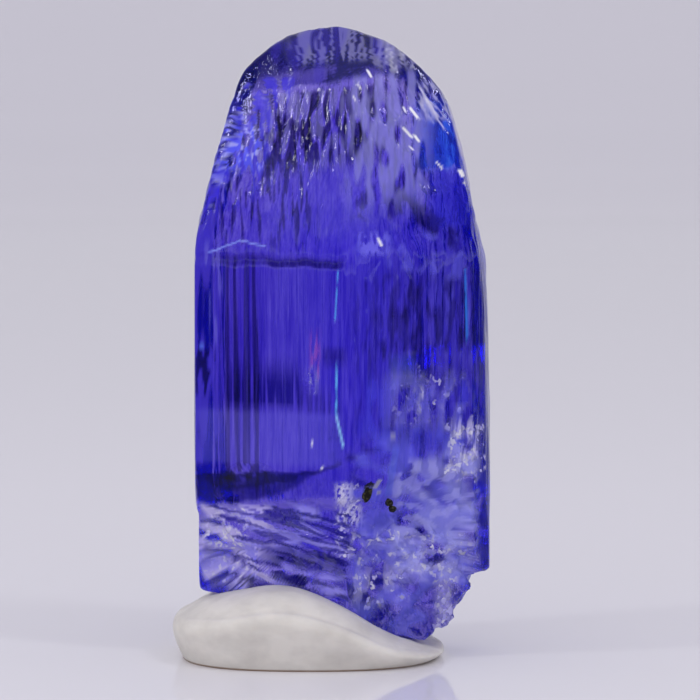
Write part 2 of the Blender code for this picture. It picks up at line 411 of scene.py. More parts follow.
# The parts of the crystal that its reliefs lie in.
SIDES = Window(low=4.6, high=18.0, low_blend=1.6, high_blend=1.6)
SHOULDERS = Window(low=13.2, high=18.1, low_blend=1.6, high_blend=0.6)
TOP = Window(low=17.9, high_blend=0.5)
BROKEN_FOOT = Window(-4.2, 4.3, high=5.2, side_blend=0.3, high_blend=0.5)
BROKEN_CORNER = Window(0.2, 4.3, high=7.4, side_blend=0.6, high_blend=1.2)
RIPPLES = front(-4.2, 0.2, 2.0, 5.0, side_blend=0.6)
DEEP_STRIAE = front(-3.75, -2.35, 5.4, 13.0, low_blend=0.8, high_blend=0.8)
RIGHT_FACE = Window(0.1, 4.6, 6.4, 14.0, side_blend=0.8, low_blend=1.0, high_blend=1.0, back=0.3)
COMB = front(-2.9, 1.1, 15.9, 18.3, side_blend=0.6, low_blend=0.8, high_blend=0.2, climb=0.1)
RELIEFS = (
    Relief(0.085, SIDES, Grain(0.95, 14.0, 3.1)),
    Relief(0.060, SIDES, Grain(0.45, 9.0, 17.3)),
    Relief(0.120, SHOULDERS, Grain(0.66, 1.8, 41.7, Profile.PITTED)),
    Relief(0.200, BROKEN_FOOT, Grain(1.10, 0.8, 63.2, Profile.PITTED)),
    Relief(0.070, BROKEN_FOOT, Grain(0.55, 0.5, 29.4)),
    Relief(0.018, SIDES, Grain(0.20, 5.0, 7.7, Profile.RIDGED)),
    Relief(0.012, SIDES, Grain(0.10, 2.2, 11.9)),
    Relief(0.030, DEEP_STRIAE, Grain(0.17, 12.0, 23.9, Profile.RIDGED)),
    Relief(0.030, RIGHT_FACE, Grain(0.24, 1.1, 45.3, Profile.RIDGED)),
    Relief(0.035, SHOULDERS, Grain(0.20, 1.8, 53.1, Profile.RIDGED)),
    Relief(0.150, COMB, Grain(0.20, 0.9, 87.7, Profile.PITTED, deep=1.2)),
    Relief(0.020, TOP, Grain(0.22, 0.8, 97.3, deep=0.8)),
    Relief(0.130, BROKEN_FOOT, Grain(0.95, 0.55, 37.3, Profile.FACETED, tilt=-14.0)),
    Relief(0.100, BROKEN_FOOT, Grain(1.50, 0.65, 22.6, Profile.RIDGED, tilt=-14.0)),
    Relief(0.014, RIPPLES, Grain(1.80, 0.12, 81.9, Profile.RIDGED, tilt=-12.0)),
    Relief(0.040, BROKEN_CORNER, Grain(0.60, 0.50, 13.7, Profile.FACETED)),
    Relief(0.030, front(-4.7, 0.1, 12.78, 13.00, low_blend=0.3, high_blend=0.2, sway=0.03)),
    Relief(0.070, Window(-6.0, -4.0, -1.0, 4.72, side_blend=0.5)),
    Relief(0.120, front(3.84, 4.10, 2.6, 12.6, side_blend=0.16, low_blend=1.0)),
)


@dataclass(frozen=True)
class CrystalForm:
    """The crystal's shape as a field, and the rays that find its surface.

    Each sharpness is per millimetre, and farthest is how far a ray can reach.
    """

    prism_sharpness: float = 30.0
    dome_sharpness: float = 16.0
    foot_sharpness: float = 20.0
    farthest: float = 14.0
    bisections: int = 24

    def depth(self, points: np.ndarray) -> np.ndarray:
        """Measures how far places lie outside the crystal, before its relief.

        Args:
            points: Places in millimetres.

        Returns:
            The depth of each, below zero inside the crystal.
        """
        prism = meet([facet.depth(points) for facet in PRISM], self.prism_sharpness)
        dome = meet([facet.depth(points) for facet in DOME], self.dome_sharpness)
        foot = meet([facet.depth(points) for facet in FOOT], self.foot_sharpness)
        upper = meet([prism, dome], self.prism_sharpness)
        main_body = meet([upper, foot], self.foot_sharpness)
        slab = meet([upper] + [facet.depth(points) for facet in SLAB], self.prism_sharpness)
        depth = np.minimum(main_body, slab)
        for scoop in SCOOPS:
            depth = np.maximum(depth, scoop.depth(points))
        return depth

    def column_azimuths(self, grid: RayGrid) -> np.ndarray:
        """Sets out the columns: one at each corner of the prism, the rest evenly apart.

        Args:
            grid: The rays.

        Returns:
            The direction of each column, in radians.
        """
        corners = []
        for first, second in zip(PRISM, PRISM[1:] + PRISM[:1]):
            sides = np.stack([first.normal()[:2], second.normal()[:2]])
            corners.append(np.linalg.solve(sides, np.array((first.reach, second.reach))))
        corners = np.array(corners)
        onward = np.roll(corners, -1, axis=0)
        # The first corner ends the first face, so the shares start with the second face.
        shares = np.array(grid.side_shares[1:] + grid.side_shares[:1])
        lengths = np.linalg.norm(onward - corners, axis=1) * shares
        ends = np.round(np.cumsum(lengths) / lengths.sum() * grid.columns).astype(int)
        outline = []
        start = 0
        for corner, following, end in zip(corners, onward, ends):
            part = np.arange(end - start) / (end - start)
            outline.append(corner + part[:, None] * (following - corner))
            start = end
        outline = np.concatenate(outline)
        return np.arctan2(outline[:, 1], outline[:, 0])

    def surface(
        self, grid: RayGrid, rings: np.ndarray, turns: np.ndarray, level: float = 0.0
    ) -> tuple[np.ndarray, np.ndarray]:
        """Finds where the rays leave the crystal.

        Args:
            grid: The rays.
            rings: Each vertex's row, from the bottom.
            turns: Each vertex's column.
            level: How far the crystal is grown.

        Returns:
            The points, and the directions of their rays.
        """
        rows, heights, tilts = np.array(grid.stops).T
        tilt = np.radians(np.interp(rings, rows, tilts))
        azimuth = self.column_azimuths(grid)[turns % grid.columns]
        start = np.zeros((len(rings), 3))
        start[:, 2] = np.interp(rings, rows, heights)
        flat = np.cos(tilt)
        direction = np.stack([flat * np.cos(azimuth), flat * np.sin(azimuth), np.sin(tilt)], axis=1)
        inside = np.zeros(len(start))
        outside = np.full(len(start), self.farthest)
        for _ in range(self.bisections):
            middle = (inside + outside) / 2.0
            out = self.depth(start + middle[:, None] * direction) > level
            outside = np.where(out, middle, outside)
            inside = np.where(out, inside, middle)
        return start + inside[:, None] * direction, direction


class Value:
    """A number or colour inside a material, on which Python's operators build Math nodes."""

    def __init__(self, shader: Shader, socket: bpy.types.NodeSocket) -> None:
        """Wraps the output socket of a node."""
        self.shader = shader
        self.socket = socket

    def _math(self, operation: str, *terms: Value | float) -> Value:
        """Joins the terms in a Math node."""
        return self.shader.node("ShaderNodeMath", {"operation": operation}, dict(enumerate(terms)))

    def __add__(self, other: Value | float) -> Value:
        """The sum of two values."""
        return self._math("ADD", self, other)

    __radd__ = __add__

    def __sub__(self, other: Value | float) -> Value:
        """The difference of two values."""
        return self._math("SUBTRACT", self, other)

    def __rsub__(self, other: Value | float) -> Value:
        """The difference of a number and this value."""
        return self._math("SUBTRACT", other, self)

    def __mul__(self, other: Value | float) -> Value:
        """The product of two values."""
        return self._math("MULTIPLY", self, other)

    __rmul__ = __mul__

    def held(self) -> Value:
        """The value held between zero and one."""
        return self.shader.node("ShaderNodeClamp", {}, {"Value": self})

    def above(self, level: float, blend: float) -> Value:
        """One where the value is over level, easing to zero over blend."""
        return ((self - level) * (1.0 / blend) + 0.5).held()

    def also(self, output: str) -> Value:
        """Another output of the node that the value comes from."""
        return Value(self.shader, self.socket.node.outputs[output])


class Shader:
    """A node tree of a material or a world, whose nodes are made by one method."""

    def __init__(self, owner: bpy.types.Material | bpy.types.World) -> None:
        """Empties the owner's node tree and gives it its output node.

        Args:
            owner: The material or world.
        """
        owner.use_nodes = True
        self.owner = owner
        self.tree = owner.node_tree
        self.tree.nodes.clear()
        kind = "World" if isinstance(owner, bpy.types.World) else "Material"
        self.output = self.tree.nodes.new(f"ShaderNodeOutput{kind}")

    def node(
        self,
        kind: str,
        settings: Mapping[str, object],
        inputs: Mapping[str | int, object],
        output: str | int = 0,
    ) -> Value:
        """Adds a node.

        Args:
            kind: The node's type.
            settings: Its properties, set first.
            inputs: A value, or another node's Value to link, for each of its sockets.
            output: The socket to hand on.

        Returns:
            The output socket as a Value.
        """
        made = self.tree.nodes.new(kind)
        for name, setting in settings.items():
            setattr(made, name, setting)
        for name, given in inputs.items():
            if isinstance(given, Value):
                self.tree.links.new(given.socket, made.inputs[name])
            else:
                made.inputs[name].default_value = given
        return Value(self, made.outputs[output])

    def link(self, value: Value, socket: str) -> None:
        """Links a value to a socket of the output node."""
        self.tree.links.new(value.socket, self.output.inputs[socket])

    def principled(self, inputs: Mapping[str, object]) -> Value:
        """A Principled surface with the given inputs."""
        return self.node("ShaderNodeBsdfPrincipled", {}, inputs)

    def place(self, waves: Sequence[float]) -> Value:
        """Reads Object coordinates.

        Args:
            waves: The length along each axis, in millimetres, that counts as one.

        Returns:
            The place, counted in those lengths.
        """
        place = self.node("ShaderNodeTexCoord", {}, {}, "Object")
        scale = [1.0 / (MM * wave) for wave in waves]
        return self.node("ShaderNodeMapping", {}, {"Vector": place, "Scale": scale})

    def noise(self, waves: Sequence[float], detail: float) -> Value:
        """Noise from zero to one, with waves of the given lengths in millimetres."""
        inputs = {"Vector": self.place(waves), "Scale": 1.0, "Detail": detail}
        return self.node("ShaderNodeTexNoise", {}, inputs)

    def vector(
        self, operation: str, first: Value, second: Value | Colour, output: str = "Vector"
    ) -> Value:
        """Joins two vectors in a Vector Math node."""
        settings = {"operation": operation}
        return self.node("ShaderNodeVectorMath", settings, {0: first, 1: second}, output)

    def bump(
        self, height: Value, strength: float, distance: float, under: Value | None = None
    ) -> Value:
        """Bends the normal.

        Args:
            height: The height that bends it.
            strength: How strongly.
            distance: How high one is, in metres.
            under: Another bent normal below this one.

        Returns:
            The normal.
        """
        inputs = {"Strength": strength, "Distance": distance, "Height": height}
        if under is not None:
            inputs["Normal"] = under
        return self.node("ShaderNodeBump", {}, inputs)

    def mix(
        self, share: Value | float, first: Value | Colour, second: Value | Colour, blend: str = "MIX"
    ) -> Value:
        """Mixes two colours.

        Args:
            share: How much of the second is laid over the first.
            first: The colour below.
            second: The colour above.
            blend: How the second is blended.

        Returns:
            The mixed colour.
        """
        colours = [c if isinstance(c, Value) else (*c, 1.0) for c in (first, second)]
        # Sockets 6 and 7 of the node are its colours, and its output 2 is their mix.
        inputs = {0: share, 6: colours[0], 7: colours[1]}
        return self.node("ShaderNodeMix", {"data_type": "RGBA", "blend_type": blend}, inputs, 2)

    def attribute(self, name: str, output: str) -> Value:
        """The colour or alpha that a piece's mesh holds under a name."""
        return self.node("ShaderNodeAttribute", {"attribute_name": name}, {}, output)


class Layer(Enum):
    """What a mark on the crystal changes."""

    # Veils are a frosty film on some marks and painted highlights and reflections on others; tints are
    # the crystal's own colour on some marks and painted shade on others.
    TINT = "the colour that the clear surface lets through"
    VEIL = "a soft film that scatters the light"
    SHARDS = "small crisp breaks, as many as the mark is strong"
    GAP = "a glassy gap in the veils and shards that were laid before it"


@dataclass(frozen=True)
class Mark:
    """A patch of the crystal's surface with a look of its own.

    Where there is a grain, the patch shows only where it is over level, and
    softness is over how much of the grain's height it fades in. With a softness
    below zero the patch shows where the grain is under level. A gap has no colour.
    """

    layer: Layer
    colour: Colour | None
    strength: float
    where: Window
    grain: Grain | None = None
    level: float = 0.0
    softness: float = 0.2

    def share(self, points: np.ndarray) -> np.ndarray:
        """Works out where the mark shows.

        Args:
            points: Places in millimetres.

        Returns:
            How strongly it shows at each of them.
        """
        share = self.where.share(points)
        inside = share > 0.0
        if self.grain is not None:
            share[inside] *= eased((self.grain.values(points[inside]) - self.level) / self.softness)
        return self.strength * share


# Each of these makes a mark of one layer from the rest of its fields.
tint = partial(Mark, Layer.TINT)
veil = partial(Mark, Layer.VEIL)
shards = partial(Mark, Layer.SHARDS)
gap = partial(Mark, Layer.GAP, None)

NIGHT = (0.15, 0.12, 0.26)
MIDNIGHT = (0.06, 0.02, 0.38)
SHADE = (0.26, 0.23, 0.54)
DEEP_VIOLET = (0.50, 0.38, 0.86)
DEEP_BLUE = (0.43, 0.46, 0.78)
VIVID_BLUE = (0.07, 0.50, 1.0)
SEA_BLUE = (0.10, 0.40, 0.95)
DUSK = (0.06, 0.035, 0.62)
SMOKE = (0.20, 0.19, 0.46)
LAVENDER = (0.28, 0.26, 0.90)
CORNFLOWER = (0.10, 0.13, 0.75)
PINK = (0.38, 0.09, 0.50)
SAND = (0.36, 0.36, 0.44)
SPARK = (0.74, 0.71, 0.98)
# A painted highlight where the crack's ledge catches the light.
CRACK_LEDGE_HIGHLIGHT = (0.25, 0.32, 0.95)
RIM_LIGHT = (0.75, 0.73, 0.88)
PALE = (0.80, 0.78, 0.95)
WHITE = (0.97, 0.97, 1.0)

# How the edges of a line fade, and how much of it its grain breaks up.
LINE_BLENDS = (0.05, 0.06, 0.06)
LINE_LEVEL = -0.35
LINE_SOFTNESS = 0.4


def line(
    colour: Colour,
    strength: float,
    start: tuple[float, float],
    end: tuple[float, float],
    width: float,
    grain: Grain | None = None,
) -> Mark:
    """Makes a veil in a narrow straight line up the front.

    Args:
        colour: Its colour.
        strength: How strongly it shows.
        start: The place across and the height of its lower end.
        end: The same of its upper end.
        width: How wide it is.
        grain: What breaks it up.

    Returns:
        The mark.
    """
    slant = (end[0] - start[0]) / (end[1] - start[1])
    left = start[0] - width / 2.0
    where = front(left, left + width, start[1], end[1], *LINE_BLENDS, slant=slant)
    return veil(colour, strength, where, grain, LINE_LEVEL, LINE_SOFTNESS)


# The parts of the crystal that its marks lie in, and the grains that some of them share.
PRISM_LEFT = front(-4.9, -2.42, 8.2, 13.3, low_blend=0.6, high_blend=1.0)
LEFT_EDGE = front(-4.9, -3.9, 6.3, 16.5, side_blend=0.4, high_blend=2.0)
LEFT_PITS = front(-4.7, -4.1, 8.5, 10.0)
STREAKS = front(-4.6, 2.0, 6.8, 16.5, low_blend=1.0, high_blend=2.0)
UPPER_LEFT = front(-4.2, -0.9, 13.4, 17.4, 0.9, 1.6, 1.0)
# A bright blue patch of painted glints on the left of the shoulder.
LEFT_GLINTS = front(-3.9, -2.5, 15.7, 17.2, 0.5, 0.5, 0.5)
LEFT_RIM = front(-4.6, -2.9, 14.6, 18.6, 0.3, 0.6, slant=0.36)
PALE_SHOULDER = front(0.2, 2.7, 14.6, 18.6, 0.9, 1.6, climb=0.1)
RIGHT_RIPPLES = front(2.4, 3.7, 17.3, 18.5, 0.3, 0.3)
CREST = Window(low=18.52, low_blend=0.1, climb=0.13)
BLUE_CORNER = Window(2.4, 4.9, 15.7, 17.9, 0.7, 0.4, 0.4, back=0.3)
FOOT_LEFT = front(-4.4, 0.3, 1.8, 5.2)
FOOT_MIDDLE = front(0.3, 2.0, 1.9, 4.3, 0.5, 0.5, 0.5)
FOOT_RIGHT = front(1.6, 4.3, 2.6, 6.6, 0.5, 0.5, 0.5)
BROKEN_LINE = Grain(0.3, 0.35, 5.2)
# The grain of the comb's own pits, so a dark tint on it is painted shade in them.
COMB_TEETH = Grain(0.2, 0.9, 87.7, deep=1.2)
FURROWS = Grain(1.4, 0.17, 51.7, tilt=-14.0)
SPECKS = Grain(0.2, 0.5, 15.1)
THIN_STREAKS = Grain(0.09, 3.0, 9.1)
MARKS = (
    # The deep left part of the prism, with its dark striae and its paler edge.
    tint(DEEP_VIOLET, 0.85, PRISM_LEFT),
    tint(NIGHT, 0.8, DEEP_STRIAE, Grain(0.15, 11.0, 5.5), 0.05, 0.2),
    tint(DEEP_VIOLET, 0.55, SIDES, Grain(0.2, 7.0, 31.3), 0.12, 0.2),
    tint(DEEP_VIOLET, 0.55, SIDES, Grain(0.09, 2.5, 71.1), 0.12, 0.2),
    tint(DEEP_VIOLET, 0.5, SIDES, Grain(0.06, 1.6, 44.8), 0.15, 0.15),
    veil(DUSK, 0.75, LEFT_EDGE, Grain(0.2, 2.4, 61.9), -0.35, 0.3),
    veil(DUSK, 0.25, STREAKS, Grain(0.1, 3.5, 14.6), 0.15, 0.15),
    veil(LAVENDER, 0.25, front(-4.4, -3.8, 10.2, 13.4, 0.2, 0.5, 0.5),
         Grain(0.14, 1.4, 35.7), 0.05, 0.2),
    # The streaked dark patch half way up the left.
    tint(MIDNIGHT, 0.9, front(-3.6, -1.3, 8.2, 9.5, 0.3, 0.12, 1.2), THIN_STREAKS, -0.35, 0.35),
    tint(NIGHT, 0.5, front(-1.4, 0.1, 8.05, 8.8, 0.3, 0.1, 0.7), THIN_STREAKS, -0.1, 0.3),
    tint(NIGHT, 0.9, LEFT_PITS, SPECKS, -0.2),
    gap(0.9, LEFT_PITS, SPECKS, -0.2),
    # A painted blue glint on the left edge.
    line((0.12, 0.25, 1.0), 0.9, (-4.46, 10.08), (-4.32, 10.24), 0.14),
    tint(NIGHT, 0.6, front(-0.6, 0.1, 9.65, 10.15, 0.3)),
    # A painted pink glint.
    veil(PINK, 0.5, front(-1.0, -0.68, 9.2, 10.6, 0.15, 0.3, 0.6), Grain(0.07, 0.5, 43.1), -0.15, 0.2),
    shards(SPARK, 0.25, front(-1.25, -0.75, 8.8, 9.4, 0.2)),
    tint(NIGHT, 0.5, front(1.5, 2.2, 10.3, 11.4, 0.3), Grain(0.2, 0.8, 36.4), -0.3),
    tint(NIGHT, 0.4, front(0.9, 1.25, 10.7, 11.3, 0.2)),
    veil(LAVENDER, 0.08, front(-2.6, 1.0, 13.6, 16.2, 0.8, 0.8, 0.8)),
    # The dark lens where the prism breaks off above the foot, painted shade in the scoop under its
    # edge, and the thin break at its right.
    tint(MIDNIGHT, 0.85,
         front(-4.9, -0.5, 5.3, 6.32, 0.4, 0.25, 0.08, climb=0.072, bow=0.14, bow_at=-3.4, sway=0.02)),
    tint(MIDNIGHT, 0.8,
         front(-4.3, -0.9, 5.7, 6.22, 0.8, 0.2, 0.1, climb=0.05, bow=0.1, bow_at=-3.2, sway=0.04),
         Grain(0.3, 0.2, 29.9), -0.35, 0.3),
    tint(NIGHT, 0.7, front(-1.0, 0.9, 6.5, 6.62, 0.3, 0.1, 0.1, climb=0.42, sway=0.03)),
    tint(NIGHT, 0.6, front(0.9, 3.8, 6.62, 6.76, 0.3, 0.1, 0.1, climb=0.27, sway=0.05),
         Grain(0.4, 0.4, 25.8), -0.2, 0.3),
    tint(NIGHT, 0.6, front(-3.4, -1.0, 5.36, 5.44, 0.4, 0.08, 0.08, climb=0.18, sway=0.03)),
    veil((0.2, 0.15, 0.76), 0.55, front(-4.7, 0.2, 5.0, 5.45, 0.3, 0.15, 0.15, climb=0.12, sway=0.04)),
    # The crack across the left face, with painted shade in the dark band along its groove and painted
    # highlights in thin blue lines where its ledge catches the light from above.
    tint(NIGHT, 0.45, front(-4.6, -2.4, 12.72, 13.05, 0.3, 0.1, 0.25, sway=0.03)),
    tint(NIGHT, 0.85, front(-2.4, 0.02, 12.7, 12.96, 0.3, 0.1, 0.2, sway=0.03)),
    veil(CRACK_LEDGE_HIGHLIGHT, 0.9, front(-4.25, -3.2, 14.6, 14.66, 0.1, 0.05, 0.05, climb=0.36, sway=0.02)),
    veil(CRACK_LEDGE_HIGHLIGHT, 0.9, front(-3.2, -2.4, 12.74, 12.8, 0.1, 0.05, 0.05, climb=-0.22, sway=0.02)),
    # The blue and dark zones on the right.
    veil((0.03, 0.1, 0.98), 0.2, BLUE_CORNER),
    veil((0.06, 0.05, 0.95), 0.15, Window(2.8, 4.6, 13.9, 15.7, 0.5, 0.4, 0.4, back=0.3)),
    tint(VIVID_BLUE, 0.95, BLUE_CORNER, Grain(0.6, 0.9, 3.3, Profile.FACETED), -0.7, 0.4),
    tint(DEEP_BLUE, 0.9, Window(2.8, 4.9, 6.4, 15.6, side_blend=0.8, back=0.3)),
    tint(DEEP_BLUE, 0.45, front(0.6, 2.9, 7.4, 14.5, 0.8, high_blend=2.0)),
    tint(NIGHT, 0.85, front(1.6, 3.6, 15.75, 16.45, 0.5, 0.3, climb=-0.72),
         Grain(0.4, 0.5, 66.3), -0.3, 0.3),
    tint(NIGHT, 0.65, front(0.4, 1.8, 14.2, 15.3, side_blend=0.5), Grain(0.3, 0.35, 44.3), 0.0, 0.2),
    tint(NIGHT, 0.6, front(1.0, 4.4, 9.2, 12.4, 0.8, 0.8, 0.8), Grain(0.2, 0.8, 27.3), 0.0, 0.15),
    tint((0.45, 0.5, 1.0), 0.8, Window(2.8, 4.4, 13.9, 15.7, 0.5, 0.4, 0.4, back=0.3)),
    tint(NIGHT, 0.45, front(0.4, 4.4, 6.8, 12.4, side_blend=0.8), Grain(0.13, 0.6, 2.7), 0.15, 0.2),
    veil(CORNFLOWER, 0.3, front(1.5, 2.3, 8.9, 9.9, 0.3)),
    veil((0.08, 0.08, 0.95), 0.34, front(0.6, 4.3, 6.6, 9.2, 0.8, 0.5, 0.8),
         Grain(0.35, 0.8, 53.8), -0.2, 0.4),
    veil(LAVENDER, 0.14, front(-4.6, 0.0, 6.4, 8.1, 0.5)),
    veil((0.2, 0.18, 0.97), 0.75, front(0.5, 1.5, 13.1, 13.8, side_blend=0.4),
         Grain(0.12, 0.25, 39.2), -0.3, 0.4),
    veil((0.17, 0.16, 0.92), 0.35, front(1.4, 3.9, 13.0, 14.3, 0.4, climb=-0.2),
         Grain(0.3, 0.5, 19.9), 0.0, 0.3),
    shards(SPARK, 0.12, front(1.4, 3.6, 7.6, 9.4, side_blend=0.6)),
    shards(SPARK, 0.17, front(2.3, 4.3, 8.0, 10.2, side_blend=0.5), Grain(0.25, 0.3, 93.7), 0.0, 0.3),
    # The comb of dark pits and pale ridges below the roof, its pits darkened as painted shade, and to
    # its left the speckles and a bright patch of painted glints.
    tint(NIGHT, 0.95, COMB, COMB_TEETH, 0.03, 0.08),
    tint(NIGHT, 0.85, COMB, Grain(0.12, 0.7, 5.9, deep=1.2), 0.12, 0.08),
    veil(SMOKE, 0.4, COMB, COMB_TEETH, -0.06, -0.12),
    veil((0.05, 0.03, 0.88), 0.6, LEFT_RIM, Grain(0.18, 0.8, 73.3, deep=1.5), -0.1, 0.2),
    veil((0.42, 0.4, 0.72), 0.3, LEFT_RIM, Grain(0.09, 0.5, 11.4, deep=1.5), 0.3, 0.08),
    tint(NIGHT, 0.9, UPPER_LEFT, Grain(0.11, 1.0, 92.1, deep=1.2), 0.1, 0.1),
    # Painted glints, bright blue and pale.
    veil((0.09, 0.1, 0.98), 0.9, LEFT_GLINTS, Grain(0.14, 0.4, 58.3, deep=0.8), 0.05, 0.08),
    veil((0.45, 0.46, 1.0), 0.8, LEFT_GLINTS, Grain(0.1, 0.22, 26.6, deep=0.8), 0.25, 0.08),
    shards((0.4, 0.4, 0.98), 0.05, LEFT_GLINTS),
    veil((0.3, 0.3, 0.98), 0.6, front(-4.2, -3.75, 15.2, 16.0, 0.2), Grain(0.12, 0.2, 58.3), 0.0, 0.2),
    # The pale shoulder to its right, with painted reflections on its ripples, a painted rim light down
    # its right edge and painted white glints.
    veil((0.32, 0.31, 0.8), 0.58, PALE_SHOULDER, Grain(0.24, 0.9, 33.9, deep=1.2), -0.35, 0.45),
    veil((0.55, 0.54, 0.82), 0.55, RIGHT_RIPPLES, Grain(0.1, 0.7, 49.6, tilt=28.0), -0.05, 0.15),
    tint(NIGHT, 0.8, PALE_SHOULDER, Grain(0.09, 0.6, 17.9, deep=0.8), 0.16, 0.1),
    veil(RIM_LIGHT, 0.6, Window(4.56, 5.2, 13.0, 16.0, 0.08, slant=-0.24)),
    veil(RIM_LIGHT, 0.6, Window(3.8, 4.6, 16.0, 18.2, 0.08, slant=-0.25)),
    # Painted white glints and pale painted reflections on the shoulder's ripples.
    line(WHITE, 1.0, (0.93, 18.62), (0.8, 18.86), 0.09),
    line(WHITE, 0.9, (0.6, 18.24), (0.52, 18.4), 0.08),
    line(WHITE, 0.8, (0.45, 17.88), (0.35, 18.05), 0.06),
    line(WHITE, 1.0, (2.42, 17.32), (2.14, 17.68), 0.11),
    line(WHITE, 0.9, (2.02, 17.52), (1.94, 17.7), 0.07),
    line(WHITE, 1.0, (2.22, 16.72), (1.92, 17.06), 0.11),
    line(WHITE, 1.0, (2.44, 16.6), (2.28, 16.82), 0.1),
    line(WHITE, 0.9, (2.26, 16.34), (2.14, 16.46), 0.08),
    line(WHITE, 1.0, (3.2, 15.7), (2.98, 15.98), 0.07),
    line(WHITE, 1.0, (3.86, 15.46), (3.72, 15.72), 0.16),
    line(WHITE, 0.9, (3.96, 15.2), (3.84, 15.34), 0.08),
    line(PALE, 0.7, (3.26, 16.95), (2.62, 17.95), 0.05),
    line(PALE, 0.7, (3.06, 17.35), (2.45, 18.3), 0.05),
    line(PALE, 0.5, (2.9, 17.15), (2.5, 17.8), 0.04),
    line(WHITE, 0.9, (1.26, 13.36), (1.14, 13.62), 0.1),
    # The mottled roof, plain along its lower edge; the pale grey smears on its right are a painted
    # reflection of the light above.
    tint(SHADE, 0.9, CREST),
    veil((0.27, 0.26, 0.58), 0.6, Window(-1.6, 2.6, 19.1, 20.3, 0.6, 0.3, climb=0.08),
         Grain(0.1, 1.0, 21.7, deep=1.3), -0.05, 0.15),
    veil((0.34, 0.33, 0.62), 0.5, Window(0.9, 2.4, 18.9, 19.9, 0.5, 0.3),
         Grain(0.12, 1.0, 8.7, deep=1.3), 0.0, 0.15),
    veil((0.58, 0.58, 0.76), 0.55, Window(1.35, 2.0, 18.8, 19.8, 0.2, 0.3),
         Grain(0.09, 0.7, 8.7, deep=1.3), 0.0, 0.15),
    veil(DUSK, 0.3, CREST, Grain(0.4, 1.2, 4.2, deep=1.5), 0.0, 0.3),
    # A bright line along the ridge between the front faces, painted as an internal reflection of a
    # fracture, and the seam of the slab.
    line(SEA_BLUE, 0.8, (-0.22, 10.97), (-0.12, 12.64), 0.05, BROKEN_LINE),
    line((0.14, 0.5, 0.98), 0.95, (-0.18, 7.9), (-0.16, 10.1), 0.07, BROKEN_LINE),
    line((0.3, 0.62, 1.0), 0.95, (0.05, 7.05), (-0.19, 8.1), 0.08),
    line((0.03, 0.22, 0.85), 0.9, (3.97, 10.2), (3.9, 12.6), 0.07, BROKEN_LINE),
    # Frosted breaks on the foot, with painted sparkles and painted white glints.
    shards(SPARK, 0.6, front(3.3, 4.5, 5.9, 7.7, 0.5, 0.5, 0.5), Grain(0.3, 0.3, 12.9), -0.2, 0.3),
    shards(SPARK, 0.85, front(-0.15, 0.55, 4.6, 5.8, 0.3), Grain(0.25, 0.3, 47.1), -0.2, 0.3),
    shards(SPARK, 0.5, front(-0.2, 0.4, 3.4, 4.6, 0.2)),
    veil((0.85, 0.82, 1.0), 0.8, front(-0.16, 0.32, 5.3, 5.86, 0.4, 0.4, 0.3),
         Grain(0.1, 0.12, 71.5), -0.15, 0.15),
    veil((0.8, 0.77, 1.0), 0.75, front(-0.12, 0.62, 4.45, 5.2, 0.45, 0.4, 0.4),
         Grain(0.09, 0.25, 71.5), -0.05, 0.15),
    shards(SPARK, 0.5, front(2.0, 4.2, 2.9, 4.0, 0.5, 0.5, 0.5), Grain(0.5, 0.3, 62.7), -0.2, 0.3),
    shards(SPARK, 0.5, front(3.0, 3.6, 0.9, 3.2, 0.4)),
    veil((0.45, 0.43, 0.9), 0.35, front(3.0, 3.5, 1.2, 3.2, 0.3)),
    veil((0.62, 0.58, 0.98), 0.75, front(3.5, 4.3, 6.2, 7.8, 0.2), Grain(0.1, 0.6, 21.1), 0.05, 0.15),
    veil((0.62, 0.54, 0.98), 0.8, front(-4.6, -3.0, 2.3, 3.7, 0.4),
         Grain(0.45, 0.18, 63.9, tilt=-32.0), 0.0, 0.1),
    shards(SPARK, 0.25, front(-4.5, -3.0, 2.0, 5.0, 0.5)),
    shards(SPARK, 0.4, FOOT_MIDDLE, Grain(0.3, 0.3, 90.4), -0.05, 0.3),
    shards(LAVENDER, 0.06, BROKEN_FOOT),
    shards(LAVENDER, 0.04, BROKEN_CORNER),
    veil((0.42, 0.4, 0.8), 0.45, FOOT_MIDDLE, Grain(0.32, 0.6, 77.9), -0.1, 0.2),
    veil((0.34, 0.31, 0.95), 0.8, front(-4.6, 0.3, 1.6, 5.1),
         Grain(1.5, 0.3, 40.9, tilt=-14.0), -0.12, 0.25),
    veil((0.64, 0.58, 0.98), 0.75, front(-4.6, -2.2, 1.8, 5.0, 0.5),
         Grain(0.7, 0.14, 18.3, tilt=-20.0), 0.05, 0.1),
    veil((0.16, 0.17, 0.9), 0.5, BROKEN_CORNER, Grain(0.9, 0.7, 84.3), -0.2, 0.4),
    veil((0.4, 0.41, 0.97), 0.45, FOOT_RIGHT, Grain(0.8, 0.6, 31.8), -0.2, 0.3),
    veil((0.46, 0.46, 0.97), 0.45, FOOT_RIGHT, Grain(0.35, 0.3, 55.6), -0.05, 0.15),
    tint(MIDNIGHT, 0.8, FOOT_LEFT, FURROWS, 0.05, 0.12),
    gap(0.85, FOOT_LEFT, FURROWS, 0.05, 0.12),
    gap(0.7, front(-2.6, 0.1, 2.7, 3.4, 0.5, 0.2, 0.2, climb=-0.12, sway=0.06)),
    tint(MIDNIGHT, 0.6, front(0.3, 4.2, 1.4, 6.4, 0.5, 0.5, 0.5),
         Grain(0.7, 0.4, 68.1, tilt=20.0), 0.12, 0.15),
    tint(MIDNIGHT, 0.75, front(-2.6, 0.1, 2.8, 3.4, 0.5, 0.2, 0.2, climb=-0.12, sway=0.06)),
    line(SAND, 0.8, (1.02, 5.66), (1.22, 5.98), 0.16),
    line(SAND, 0.7, (1.16, 5.46), (1.18, 5.62), 0.14),
    line(SAND, 0.6, (1.6, 7.3), (1.68, 7.5), 0.16),
